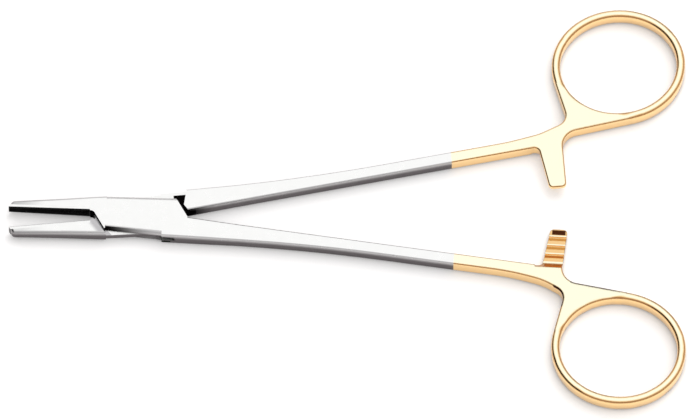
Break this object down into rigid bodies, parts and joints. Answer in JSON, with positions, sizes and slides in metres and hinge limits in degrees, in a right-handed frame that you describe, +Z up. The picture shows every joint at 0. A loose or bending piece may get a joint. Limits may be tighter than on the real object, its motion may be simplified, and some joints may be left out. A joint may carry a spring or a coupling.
{
  "type": "needle holder",
  "caption": "Ring-handled surgical needle holder, lying slightly open, with a box lock, brazed gripping plates in its jaws and a ratchet between its gold-plated shanks.",
  "frame": {"origin": "the pin's axis at the box's underside, the plane on which the instrument lies", "axes": "+X from the pin towards the finger rings, midway between the shanks, +Y towards the male half's finger ring, +Z up along the pin"},
  "size_m": [0.1769, 0.1131, 0.0046],
  "materials": {
    "forged_steel": "satin, with the shanks from about 82 mm behind the pin, the ratchet and the finger rings gold-plated",
    "pin_steel": "satin, ground flush",
    "hard_insert": "dark, crosshatched gripping face"
  },
  "bodies": {
    "box_side": {"box_half": "forged_steel", "joint_pin": "pin_steel", "upper_jaw_insert": "hard_insert"},
    "male_side": {"male_half": "forged_steel", "lower_jaw_insert": "hard_insert"}
  },
  "joints": [
    {"name": "box_lock", "type": "hinge", "parent": "box_side", "child": "male_side", "pos_m": [0, 0, 0], "axis": [0, 0, 1], "range_deg": [-8.4, 36.6]}
  ]
}
